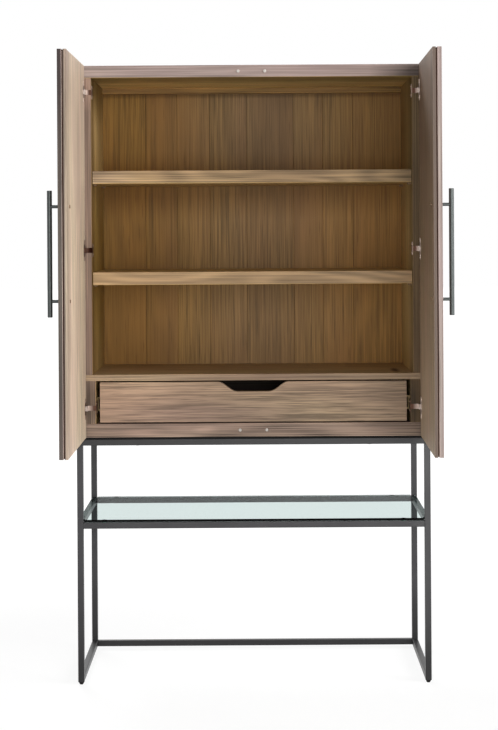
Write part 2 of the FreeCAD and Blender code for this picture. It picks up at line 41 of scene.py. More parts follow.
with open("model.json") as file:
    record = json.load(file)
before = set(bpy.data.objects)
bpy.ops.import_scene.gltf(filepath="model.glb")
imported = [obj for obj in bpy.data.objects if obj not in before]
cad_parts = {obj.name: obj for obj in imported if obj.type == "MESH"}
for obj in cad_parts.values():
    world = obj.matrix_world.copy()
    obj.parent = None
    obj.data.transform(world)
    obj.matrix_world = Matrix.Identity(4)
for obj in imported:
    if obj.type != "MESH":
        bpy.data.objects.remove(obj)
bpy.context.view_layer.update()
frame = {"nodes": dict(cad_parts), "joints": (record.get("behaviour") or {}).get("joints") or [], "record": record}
RECORD = frame["record"]
BODY_OF = {node: body for body, nodes in RECORD["behaviour"]["bodies"].items() for node in nodes}
JOINTS = {joint["name"]: joint for joint in frame["joints"]}
X, Y, Z = 0, 1, 2
# A mark's reach in metres along an axis on which it doesn't end
ALL = 9.0


# Colours and sizes

def linear(code):
    """Turns an sRGB hex colour into the linear red, green, blue and alpha of a shader."""
    part = np.array([int(code[n:n + 2], 16) for n in (1, 3, 5)]) / 255
    flat = np.where(part <= 0.04045, part / 12.92, ((part + 0.055) / 1.055) ** 2.4)
    return (*flat.tolist(), 1.0)


def colour(name, code, description):
    """A colour that the user can change."""
    return bpy.props.FloatVectorProperty(
        name=name, description=description, default=linear(code),
        subtype="COLOR", size=4, min=0.0, max=1.0,
    )


def length(name, metres, description):
    """A length that the user can change."""
    return bpy.props.FloatProperty(
        name=name, description=description, default=metres, min=0.0,
        subtype="DISTANCE", unit="LENGTH", precision=5,
    )


def number(name, value, description):
    """A plain number that the user can change."""
    return bpy.props.FloatProperty(name=name, description=description, default=value)


class CabinetWood(bpy.types.PropertyGroup):
    """Colours of the oak"""
    outside: colour("Outside", "#a5928a", "Faces of the case and doors that look outwards")
    # The right edges are painted darker than the left, as painted shade from the right door
    side_left: colour("Left side edge", "#8a7465", "Front edges of the left sides")
    side_right: colour("Right side edge", "#715c41", "Front edges of the right sides")
    bottom: colour("Bottom board", "#947e70", "Bottom board")
    shelf: colour("Shelf edge", "#ab906b", "Shelf fronts and divider faces")
    divider: colour("Divider edge", "#9e866e", "Front edge of the divider")
    back: colour("Back boards", "#9b7644", "Back boards")
    # The right inner sides are painted lighter than the left, as painted light where less light reaches
    in_left: colour("Left inner side", "#b89a66", "Inner faces of the left sides")
    in_right: colour("Right inner side", "#cdb684", "Inner faces of the right sides")
    shelf_face: colour("Shelf faces", "#b99b66", "Tops and undersides of the shelves")
    rail: colour("Back rail", "#8f6e3d", "Rail under the top at the back")
    # Painted lighter than the other inner faces, as painted light on a face that looks down
    underside: colour("Underside", "#d0b478", "Underside of the top board")
    # The right door's inside is painted darker than the left's, as painted shade
    door_left: colour("Left door inside", "#ceb9a3", "Inner face of the left door")
    door_right: colour("Right door inside", "#a6917b", "Inner face of the right door")
    end_left: colour("Left door edge", "#5b514b", "Edges of the left door's outer layer")
    end_right: colour("Right door edge", "#a99892", "Edges of the right door's outer layer")
    rim: colour("Inner layer edge", "#68594f", "Edges of the doors' inner layers")
    drawer: colour("Drawer front", "#a68d75", "Drawer front")
    # The drawer box is darkened as painted shade inside the drawer
    box: colour("Drawer box", "#392a1d", "Dark stained drawer box")
    core: colour("Door core", "#3a241a", "Stained core in the groove round the doors")


class CabinetMetal(bpy.types.PropertyGroup):
    """Colours of the steel, plating, glass and plastic"""
    stand: colour("Stand", "#2f2e30", "Lacquered steel of the stand")
    stand_worn: colour("Stand worn", "#39383a", "Thinner lacquer in cloudy places")
    handle: colour("Handle", "#464a49", "Lacquered steel of the handles")
    nickel: colour("Nickel", "#c6b5aa", "Plated hinges")
    zinc: colour("Zinc", "#57452f", "Yellow passivated bolts")
    slide: colour("Slides", "#7a684c", "Yellow passivated slides")
    pin: colour("Shelf pins", "#6a5440", "Bronzed shelf pins")
    screw: colour("Screws", "#8f7a66", "Bronzed screws")
    black: colour("Black", "#0e0d0c", "Feet and spacer strips")
    glass: colour("Glass", "#e3eae9", "Float glass seen through its faces")
    glass_edge: colour("Glass edge", "#5f7c72", "Edges of the glass and the discs under it")
    bumper: colour("Bumper", "#ebe4dc", "Clear soft domes that the doors land on")


class CabinetSizes(bpy.types.PropertyGroup):
    """Roundings and the grip of the drawer"""
    arris: length("Arris", 0.0009, "Rounding of the boards' edges")
    thin_arris: length("Thin arris", 0.0006, "Rounding of the door layers' edges")
    tube_round: length("Tube corner", 0.002, "Corner radius of the square tube")
    back_joint: length("Back joint", 0.0007, "Rounding beside the joints of the back boards")
    grip_half_top: length("Grip half width, top", 0.092, "Half the drawer cut-out at its top")
    grip_half_bottom: length("Grip half width, bottom", 0.0385, "Half the cut-out at its bottom")
    grip_depth: length("Grip depth", 0.0255, "How deep the drawer cut-out is")


class CabinetStudio(bpy.types.PropertyGroup):
    """Light and camera"""
    sky: number("Sky", 0.10, "Strength of the even light from all round")
    key: number("Key lamp", 0.92, "Level of the large lamp at the right, 1 for full white")
    front: number("Front lamp", 0.24, "Level of the large lamp in front, 1 for full white")
    low: number("Low lamp", 0.20, "Level of the low lamp in front, 1 for full white")
    back: number("Back lamp", 0.40, "Level of the lamp behind, 1 for full white")
    lens: number("Lens", 88.47, "Focal length in millimetres on a 36 mm frame")
    distance: length("Camera distance", 4.636, "Camera to the stand's front")
    height: length("Camera height", 1.1797, "Camera above the floor")
    roll: number("Roll", 0.349, "Turn of the picture in degrees")


# Surfaces

# A corner reaches this many times as far as its outline draws in at the ends. Under 1.35 the
# drawn-in outline would cross itself.
CORNER = 1.5


def eased(corners, reach, bends):
    """A closed outline with rounded corners.

    Each corner turns into a parabola: the corner plus the reach towards its neighbour before,
    times (1 - s) squared, plus the reach towards its neighbour after, times s squared. The
    reach is at most 0.4 of either side."""
    point = np.asarray(corners, float)
    before = np.roll(point, 1, axis=0) - point
    after = np.roll(point, -1, axis=0) - point
    long_before = np.linalg.norm(before, axis=1, keepdims=True)
    long_after = np.linalg.norm(after, axis=1, keepdims=True)
    near = np.minimum(reach, 0.4 * np.minimum(long_before, long_after))[:, None]
    s = np.linspace(0, 1, bends + 1)[None, :, None]
    rounded = point[:, None] + near * (
        (1 - s) ** 2 * (before / long_before)[:, None] + s ** 2 * (after / long_after)[:, None]
    )
    return rounded.reshape(-1, 2)


def lofted(rings, along, axis):
    """Flat rings of points, one at each place along an axis, as points, quads and end faces.

    The quads lie between each ring and the next, and all faces are wound to face away."""
    rows, count = rings.shape[:2]
    points = np.empty((rows, count, 3))
    points[..., axis] = along[:, None]
    points[..., (axis + 1) % 3] = rings[..., 0]
    points[..., (axis + 2) % 3] = rings[..., 1]
    here = np.arange(count)
    there = np.roll(here, -1)
    start = (np.arange(rows - 1) * count)[:, None]
    quads = np.stack([start + n for n in (here, there, count + there, count + here)], -1)
    ends = np.stack([here[::-1], here + (rows - 1) * count])
    return points.reshape(-1, 3), quads.reshape(-1, 4), ends


def carried(corners, axis, low, high, ease, reach=None, bends=3, steps=3):
    """An outline with rounded corners carried along an axis.

    At the angle a from each end's edge the outline stands ease times (1 - cos a) in from the
    end and draws in by ease times (1 - sin a), so the ends are rounded. What comes back is
    the points, the quads, the two end faces and the number of each face's side: from the
    first corner on, and the two ends after them."""
    outline = eased(corners, CORNER * ease if reach is None else reach, bends)
    a = np.linspace(0, math.pi / 2, steps + 1)
    away = ease * (1 - np.cos(a))
    inset = ease * (1 - np.sin(a))
    along = np.concatenate([low + away, high - away[::-1]])
    inset = np.concatenate([inset, inset[::-1]])
    tangent = np.roll(outline, -1, axis=0) - np.roll(outline, 1, axis=0)
    inward = np.stack([-tangent[:, 1], tangent[:, 0]], -1)
    inward /= np.linalg.norm(inward, axis=1, keepdims=True)
    rings = outline[None] + inset[:, None, None] * inward[None]
    side = np.tile(np.repeat(np.arange(len(corners)), bends + 1), len(along) - 1)
    side = np.append(side, (len(corners), len(corners)))
    return (*lofted(rings, along, axis), side)


def board(box, axis, ease, **more):
    """A box with rounded edges, carried along its grain or length.

    Its sides are numbered 0 to 3 from the one at the low end of the second axis after the
    grain, counter-clockwise, and the two ends are 4."""
    low, high = box
    u, v = (axis + 1) % 3, (axis + 2) % 3
    corners = [(low[u], low[v]), (high[u], low[v]), (high[u], high[v]), (low[u], high[v])]
    return carried(corners, axis, low[axis], high[axis], ease, **more)


def turned(profile, centre, axis, count=40):
    """A profile of (radius, height) rows turned round an axis through the centre.

    The point at the angle a is the centre plus height along the axis, radius times cos a
    along the next axis and radius times sin a along the one after."""
    profile = np.asarray(profile, float)
    a = np.arange(count) * (2 * math.pi / count)
    rings = profile[:, :1, None] * np.stack([np.cos(a), np.sin(a)], -1)
    points, quads, ends = lofted(rings, profile[:, 1], axis)
    return points + centre, quads, ends, np.zeros(len(quads) + 2, int)


def flat_faces(made):
    """Shades large faces flat beside their rounded edges, by weighing normals by area."""
    weighted = made.modifiers.new("Weighted normal", "WEIGHTED_NORMAL")
    weighted.keep_sharp = True


def piece(name, nodes, parts, finishes, smooth=35.0, move=None):
    """Puts surfaces into one object that stands for CAD nodes and rides on their body.

    The finishes go by the number of a face's side, and the last takes what is left. Three
    attributes go with each point for them: the number of its part, its place from the
    part's middle, and half the part's size. An edge over the angle smooth, in degrees, stays
    sharp. move takes points to where the piece stands and says if faces turn over there."""
    counts = [len(points) for points, *_ in parts]
    starts = np.append(0, np.cumsum(counts))
    points = np.concatenate([part[0] for part in parts])
    quads = np.concatenate([part[1] + start for part, start in zip(parts, starts)])
    ends = [face for part, start in zip(parts, starts) for face in part[2] + start]
    side = np.concatenate(
        [part[3][:len(part[1])] for part in parts] + [part[3][len(part[1]):] for part in parts]
    )
    low = np.array([part[0].min(axis=0) for part in parts])
    high = np.array([part[0].max(axis=0) for part in parts])
    middle = points - np.repeat((low + high) / 2, counts, axis=0)
    half = np.repeat((high - low) / 2, counts, axis=0)
    if move is not None:
        points, flipped = move(points)
        if flipped:
            quads, ends = quads[:, ::-1], [face[::-1] for face in ends]
    mesh = bpy.data.meshes.new(name)
    mesh.from_pydata(points, [], quads.tolist() + [face.tolist() for face in ends])
    kinds = list(dict.fromkeys(finishes))
    for finish in kinds:
        mesh.materials.append(finish)
    of_side = np.array([kinds.index(finish) for finish in finishes])
    mesh.polygons.foreach_set("material_index", of_side[np.minimum(side, len(finishes) - 1)])
    plank = mesh.attributes.new("plank", "FLOAT", "POINT")
    plank.data.foreach_set("value", np.repeat(np.arange(len(parts)), counts).astype(np.float32))
    for word, rows in (("middle", middle), ("half", half)):
        made = mesh.attributes.new(word, "FLOAT_VECTOR", "POINT")
        made.data.foreach_set("vector", rows.astype(np.float32).ravel())
    mesh.shade_smooth()
    mesh.set_sharp_from_angle(angle=math.radians(smooth))
    if mesh.validate(verbose=False):
        raise RuntimeError(f"{name} has faces that had to be mended")
    made = bpy.data.objects.new(name, mesh)
    bpy.context.scene.collection.objects.link(made)
    flat_faces(made)
    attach(made, BODY_OF[nodes[0]])
    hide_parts(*nodes)


def dress(finish, *nodes):
    """Gives kept CAD nodes their finish."""
    for node in nodes:
        slots = frame["nodes"][node].data.materials
        slots.clear()
        slots.append(finish)


# Finishes

def add(tree, kind, inputs=None, stops=(), **settings):
    """Adds a shader node, sets it up, fills or links its inputs and sets its colour stops.

    Its kind is given without ShaderNode in front. An input given as a node is linked to
    that node's first output."""
    made = tree.nodes.new("ShaderNode" + kind)
    for name, value in settings.items():
        setattr(made, name, value)
    for name, value in (inputs or {}).items():
        if isinstance(value, bpy.types.Node):
            value = value.outputs[0]
        if isinstance(value, bpy.types.NodeSocket):
            tree.links.new(value, made.inputs[name])
        else:
            made.inputs[name].default_value = value
    for n, (place, shade) in enumerate(stops):
        row = made.color_ramp.elements
        stop = row[n] if n < 2 else row.new(place)
        stop.position, stop.color = place, shade
    return made


def blank(name):
    """A new material whose node tree is empty, and the tree."""
    finish = bpy.data.materials.new(name)
    finish.use_nodes = True
    finish.node_tree.nodes.clear()
    return finish, finish.node_tree


def grey(level):
    """A linear grey."""
    return (level, level, level, 1.0)


def tinted(tree, shade, place, marks):
    """Colours multiplied by a tint round each mark: (centre, reach, tint), reach in metres.

    The tint is whole up to 0.3 of the reach from the centre and gone at the reach."""
    # Marks stand for knots, pale patches and wear, and many for painted light and painted shade
    for centre, reach, tint in marks:
        off = add(tree, "VectorMath", {0: place, 1: centre}, operation="SUBTRACT")
        part = add(tree, "VectorMath", {0: off, 1: reach}, operation="DIVIDE")
        far = add(tree, "VectorMath", {0: part}, operation="LENGTH")
        near = add(
            tree, "MapRange", {"Value": far.outputs["Value"], "From Min": 1.0, "From Max": 0.3}
        )
        shade = add(
            tree, "MixRGB", {"Fac": near, "Color1": shade, "Color2": (*tint, 1.0)},
            blend_type="MULTIPLY",
        )
    return shade


def oak(name, tone, along, contrast=1.0, figure=0.05, rings=8.0, broad=0.3, fine=1.0,
        dash=1.0, fringe=0.0022, edge=1.35, marks=(), rim=None, within=None):
    """Brushed oak with a thin oil: straight fibres, cathedral lines, open pores, worn arrises.

    Cathedral lines are the sine of a slow noise, so they run as contour lines do: figure is
    their strength and rings their number. broad and fine are the strength of streaks and
    fibres, and a dash above 1 makes both shorter. The real fibres and pores are 0.3 mm wide
    and are drawn ten times as wide here, because finer ones don't show. Within a fringe of
    the board's edges the colour is multiplied by edge: above 1 for rubbed arrises, on the back
    rail partly a painted highlight; below 1 for dirt in a joint, and under the top as painted
    shade along its edges. A board that has no attributes gives its middle, turn and half size
    in within, and rim is the colour of its ends, up to so far past the middle of their
    thickness."""
    finish, tree = blank(name)
    spot = add(tree, "TexCoord")
    place = spot.outputs["Object"]
    plank = add(tree, "Attribute", attribute_name="plank").outputs["Fac"]
    chance = add(tree, "TexWhiteNoise", {"W": plank}, noise_dimensions="1D")
    # Far enough apart in the noise that no board has its neighbour's grain
    shift = add(tree, "Math", {0: plank, 1: 3.7}, operation="MULTIPLY")
    # Metres across the grain, metres along it, detail, roughness
    patterns = {
        "slow": (0.110, 0.700, 1.5, 0.4),
        "streak": (0.020, 0.600 / dash, 2.0, 0.5),
        "line": (0.0060, 0.420 / dash, 2.0, 0.6),
        "fibre": (0.0028, 0.300 / dash, 2.0, 0.6),
        "pore": (0.0030, 0.120 / dash, 1.0, 0.5),
        "hue": (0.140, 0.500, 1.0, 0.5),
    }
    noise = {}
    for part, (wide, long, detail, rough) in patterns.items():
        size = [1 / wide] * 3
        size[along] = 1 / long
        drawn = add(tree, "Mapping", {"Vector": place, "Scale": size})
        noise[part] = add(
            tree, "TexNoise",
            {"Vector": drawn, "W": shift, "Scale": 1.0, "Detail": detail, "Roughness": rough},
            noise_dimensions="4D",
        )
    wave = add(tree, "Math", {0: noise["slow"], 1: rings * 2 * math.pi}, operation="MULTIPLY")
    contour = add(tree, "Math", {0: wave}, operation="SINE")
    # The fibres are strong in some places and faint in others
    strong = add(
        tree, "MapRange",
        {"Value": noise["hue"], "From Min": 0.35, "From Max": 0.65, "To Min": 0.5 * fine,
         "To Max": 2.2 * fine},
    )
    thread = add(tree, "Math", {0: noise["fibre"], 1: 0.5}, operation="SUBTRACT")
    thread = add(tree, "Math", {0: thread, 1: strong, 2: 0.5}, operation="MULTIPLY_ADD")
    weights = (
        (contour, figure), (noise["streak"], broad), (noise["line"], 0.40 * fine),
        (thread, 1.0), (chance, 0.12),
    )
    value = 0.5 - 0.5 * sum(weight for part, weight in weights[1:])
    for part, weight in weights:
        value = add(tree, "Math", {0: part, 1: weight, 2: value}, operation="MULTIPLY_ADD")
    tone = np.array(tone[:3])
    reach = 0.45 * contrast
    shade = add(tree, "ValToRGB", {"Fac": value}, stops=[
        (0.25, (*(tone * (1 - reach)), 1.0)), (0.50, (*tone, 1.0)),
        (0.75, (*(tone * (1 + reach)), 1.0)),
    ])
    open_pore = add(tree, "MapRange", {"Value": noise["pore"], "From Min": 0.38, "From Max": 0.28})
    warm = add(tree, "ValToRGB", {"Fac": noise["hue"]}, stops=[
        (0.35, (1.02, 0.985, 1.0, 1.0)), (0.65, (0.98, 1.01, 0.96, 1.0)),
    ])
    for factor, tint in ((open_pore, grey(0.72)), (1.0, warm)):
        shade = add(
            tree, "MixRGB", {"Fac": factor, "Color1": shade, "Color2": tint},
            blend_type="MULTIPLY",
        )
    shade = tinted(tree, shade, place, marks)
    if within:
        centre, turn, half = within
        middle = add(
            tree, "Mapping",
            {"Vector": place, "Location": centre, "Rotation": (0.0, 0.0, turn)},
            vector_type="TEXTURE",
        )
    else:
        middle = add(tree, "Attribute", attribute_name="middle").outputs["Vector"]
        half = add(tree, "Attribute", attribute_name="half").outputs["Vector"]
    if rim:
        part = add(tree, "SeparateXYZ", {0: spot.outputs["Normal"]}).outputs[X]
        flat = add(tree, "Math", {0: part}, operation="ABSOLUTE")
        flat = add(tree, "Math", {0: flat, 1: 0.5}, operation="GREATER_THAN")
        part = add(tree, "SeparateXYZ", {0: middle}).outputs[Y]
        lip = add(tree, "Math", {0: part, 1: rim[1]}, operation="GREATER_THAN")
        face = add(tree, "Math", {0: flat, 1: lip}, operation="MAXIMUM")
        shade = add(tree, "MixRGB", {"Fac": face, "Color1": tuple(rim[0]), "Color2": shade})
    off = add(tree, "VectorMath", {0: middle}, operation="ABSOLUTE")
    inside = add(tree, "VectorMath", {0: half, 1: off}, operation="SUBTRACT")
    # The second smallest distance from the faces is the distance from the nearest edge
    by = add(tree, "SeparateXYZ", {0: inside}).outputs
    least = add(tree, "Math", {0: by[X], 1: by[Y]}, operation="MINIMUM")
    most = add(tree, "Math", {0: by[X], 1: by[Y]}, operation="MAXIMUM")
    other = add(tree, "Math", {0: most, 1: by[Z]}, operation="MINIMUM")
    away = add(tree, "Math", {0: least, 1: other}, operation="MAXIMUM")
    ragged = add(
        tree, "Math", {0: noise["line"], 1: 2 * fringe, 2: away}, operation="MULTIPLY_ADD"
    )
    rubbed = add(
        tree, "MapRange", {"Value": ragged, "From Min": 2.2 * fringe, "From Max": 0.8 * fringe}
    )
    shade = add(
        tree, "MixRGB", {"Fac": rubbed, "Color1": shade, "Color2": grey(edge)},
        blend_type="MULTIPLY",
    )
    bump = add(tree, "Bump", {"Strength": 0.25, "Distance": 0.0004, "Height": noise["fibre"]})
    shader = add(
        tree, "BsdfPrincipled",
        {"Base Color": shade, "Roughness": 0.58, "Normal": bump, "IOR": 1.45,
         "Specular IOR Level": 0.35},
    )
    add(tree, "OutputMaterial", {"Surface": shader})
    return finish


def lacquered(name, base, worn, rough=0.38, metallic=0.25, marks=()):
    """Blackened steel under satin lacquer: dark and even, a little cloudy, a bright graze."""
    finish, tree = blank(name)
    spot = add(tree, "TexCoord").outputs["Object"]
    cloud = add(tree, "TexNoise", {"Vector": spot, "Scale": 9.0, "Detail": 4.0})
    shade = add(tree, "ValToRGB", {"Fac": cloud}, stops=[(0.35, tuple(base)), (0.70, tuple(worn))])
    shade = tinted(tree, shade, spot, marks)
    shader = add(
        tree, "BsdfPrincipled", {"Base Color": shade, "Roughness": rough, "Metallic": metallic}
    )
    add(tree, "OutputMaterial", {"Surface": shader})
    return finish


def plated(name, base, rough, marks=()):
    """Nickel, zinc or bronze plating: metal with faint rubbing marks, and painted shade in places."""
    finish, tree = blank(name)
    spot = add(tree, "TexCoord").outputs["Object"]
    rub = add(tree, "TexNoise", {"Vector": spot, "Scale": 300.0, "Detail": 2.0})
    dull = add(tree, "MapRange", {"Value": rub, "To Min": rough * 0.8, "To Max": rough * 1.25})
    shade = tinted(tree, tuple(base), spot, marks)
    shader = add(tree, "BsdfPrincipled", {"Base Color": shade, "Roughness": dull, "Metallic": 1.0})
    add(tree, "OutputMaterial", {"Surface": shader})
    return finish


def moulded(name, base, rough):
    """Moulded plastic or dyed board: even colour with a fine speckle in its gloss."""
    finish, tree = blank(name)
    spot = add(tree, "TexCoord").outputs["Object"]
    speck = add(tree, "TexNoise", {"Vector": spot, "Scale": 700.0, "Detail": 1.0})
    dull = add(tree, "MapRange", {"Value": speck, "To Min": rough * 0.9, "To Max": rough * 1.1})
    shader = add(
        tree, "BsdfPrincipled",
        {"Base Color": tuple(base), "Roughness": dull, "Specular IOR Level": 0.2},
    )
    add(tree, "OutputMaterial", {"Surface": shader})
    return finish


def clear(name, base, rough):
    """Clear soft vinyl: cloudy, partly see-through, with a dull shine."""
    finish, tree = blank(name)
    shader = add(
        tree, "BsdfPrincipled",
        {"Base Color": tuple(base), "Roughness": rough, "IOR": 1.45, "Transmission Weight": 0.25},
    )
    add(tree, "OutputMaterial", {"Surface": shader})
    return finish


def float_glass(name, box, face, edge):
    """Clear float glass: almost no colour through its faces, dark green into its edges."""
    finish, tree = blank(name)
    spot = add(tree, "TexCoord").outputs["Object"]
    part = add(tree, "SeparateXYZ", {0: spot})
    rims = []
    for n in (X, Y):
        middle, reach = (box[0][n] + box[1][n]) / 2, (box[1][n] - box[0][n]) / 2
        off = add(tree, "Math", {0: part.outputs[n], 1: middle}, operation="SUBTRACT")
        far = add(tree, "Math", {0: off}, operation="ABSOLUTE")
        rims.append(add(
            tree, "MapRange",
            {"Value": far, "From Min": reach - 0.0012, "From Max": reach - 0.0002},
        ))
    inner = add(tree, "Math", {0: rims[0], 1: rims[1]}, operation="MAXIMUM")
    shade = add(tree, "ValToRGB", {"Fac": inner}, stops=[(0.0, tuple(face)), (1.0, tuple(edge))])
    through = add(tree, "BsdfRefraction", {"Color": shade, "Roughness": 0.0, "IOR": 1.5})
    mirror = add(tree, "BsdfGlossy", {"Color": grey(1.0), "Roughness": 0.02})
    bright = add(tree, "Fresnel", {"IOR": 1.5})
    dim = add(tree, "Math", {0: bright, 1: 0.15}, operation="MULTIPLY")
    both = add(tree, "MixShader", {0: dim, 1: through, 2: mirror})
    add(tree, "OutputMaterial", {"Surface": both})
    return finish


# Stand

TUBES = (
    ("leg_front_left", Z), ("leg_front_right", Z), ("leg_rear_left", Z), ("leg_rear_right", Z),
    ("top_rail_front", X), ("top_rail_rear", X), ("top_rail_left", Y), ("top_rail_right", Y),
    ("shelf_rail_front", X), ("shelf_rail_rear", X), ("shelf_rail_left", Y),
    ("shelf_rail_right", Y), ("floor_rail_left", Y), ("floor_rail_right", Y),
    ("floor_rail_rear", X),
)


class CABINET_OT_stand(bpy.types.Operator):
    """Square tubes of the stand, with round corners and closed ends"""
    bl_idname = "cabinet.stand"
    bl_label = "Stand"

    def execute(self, context):
        metal = context.scene.cabinet_metal
        # Painted shade near the floor, a painted shadow on the front rail under the case, and a painted highlight
        # on the right leg
        front, under_case = 0.022, 0.631
        marks = [
            ((0.0, 0.2, 0.0), (ALL, ALL, 0.2), (0.30, 0.29, 0.29)),
            ((0.0, front, under_case), (ALL, 0.05, 0.022), (0.48, 0.47, 0.45)),
            ((0.434, front, 0.3), (0.03, 0.05, 0.9), (1.35, 1.38, 1.32)),
        ]
        steel = lacquered("satin lacquered steel", metal.stand, metal.stand_worn, marks=marks)
        reach = context.scene.cabinet_sizes.tube_round
        for node, axis in TUBES:
            tube = board(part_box(node), axis, ease=0.0003, reach=reach, bends=5, steps=2)
            piece(node + "_tube", [node], [tube], [steel])
        return {"FINISHED"}


def corners_in(box, inset):
    """The four places on the floor that stand so far in from a box's upright edges."""
    (x0, y0, _), (x1, y1, _) = box
    return [(x, y, 0.0) for x in (x0 + inset, x1 - inset) for y in (y0 + inset, y1 - inset)]


class CABINET_OT_feet(bpy.types.Operator):
    """Tapered feet, spacer strips, bolts and the discs under the glass"""
    bl_idname = "cabinet.feet"
    bl_label = "Feet and strips"

    def execute(self, context):
        metal = context.scene.cabinet_metal
        black = moulded("black polythene", metal.black, rough=0.7)
        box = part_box("foot_glides")
        top, widest = box[1][Z], 0.0076
        # Sole, cone, lip and the plug in the leg
        profile = [
            (0.0034, 0.0), (0.0042, 0.0003), (0.0046, 0.0009), (0.0060, 0.0038),
            (0.0074, 0.0060), (widest, 0.0066), (0.0075, 0.0070), (0.0060, 0.0070),
            (0.0060, top - 0.001), (0.0050, top),
        ]
        feet = [turned(profile, place, Z) for place in corners_in(box, widest)]
        piece("tapered_feet", ["foot_glides"], feet, [black], smooth=50)
        dress(black, "case_strips")
        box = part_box("stand_bolts")
        under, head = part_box("top_rail_front")[0][Z], 0.0050
        # Low head under the rail, and the shank
        profile = [
            (0.0034, under - 0.0008), (0.0044, under - 0.0007), (head, under - 0.0002),
            (head, under), (0.0030, under), (0.0030, box[1][Z]),
        ]
        bolts = [turned(profile, place, Z, count=24) for place in corners_in(box, head)]
        zinc = plated("yellow passivated bolts", metal.zinc, rough=0.35)
        piece("low_head_bolts", ["stand_bolts"], bolts, [zinc])
        dress(clear("clear vinyl discs", metal.glass_edge, rough=0.3), "glass_pads")
        return {"FINISHED"}


class CABINET_OT_glass(bpy.types.Operator):
    """Glass shelf of the stand"""
    bl_idname = "cabinet.glass"
    bl_label = "Glass shelf"

    def execute(self, context):
        metal = context.scene.cabinet_metal
        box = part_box("glass_shelf")
        dress(float_glass("clear float glass", box, metal.glass, metal.glass_edge), "glass_shelf")
        return {"FINISHED"}


# Case

# Marks on the front edges of the sides and on their inner faces: painted shade beside the drawer,
# under the top and along the front of the inner faces, a lighter patch high on the left edge, and a
# darker, yellower band about the middle of the left inner face. Last, how much lighter the walls
# beside the drawer are painted, as painted light, so that the shaded gaps there show brown
SIDES = {
    "left": (
        [
            ((-0.43, 0.02, 1.54), (0.05, 0.05, 0.06), (1.4, 1.35, 1.35)),
            ((-0.405, 0.02, 0.728), (0.09, ALL, 0.09), (0.56, 0.54, 0.52)),
        ],
        [
            ((-0.414, 0.38, 1.06), (ALL, ALL, 0.35), (0.72, 0.66, 0.42)),
            ((-0.414, 0.02, 1.2), (ALL, 0.11, ALL), (0.40, 0.36, 0.30)),
            ((-0.414, 0.1, 1.57), (ALL, 0.45, 0.12), (0.45, 0.43, 0.34)),
        ],
        1.7,
    ),
    "right": (
        [((0.405, 0.02, 0.728), (0.04, ALL, 0.09), (0.42, 0.42, 0.40))],
        [
            ((0.414, 0.02, 1.6), (ALL, ALL, 0.5), (0.50, 0.45, 0.38)),
            ((0.424, 0.02, 1.1), (ALL, 0.14, ALL), (0.44, 0.42, 0.38)),
        ],
        1.2,
    ),
}


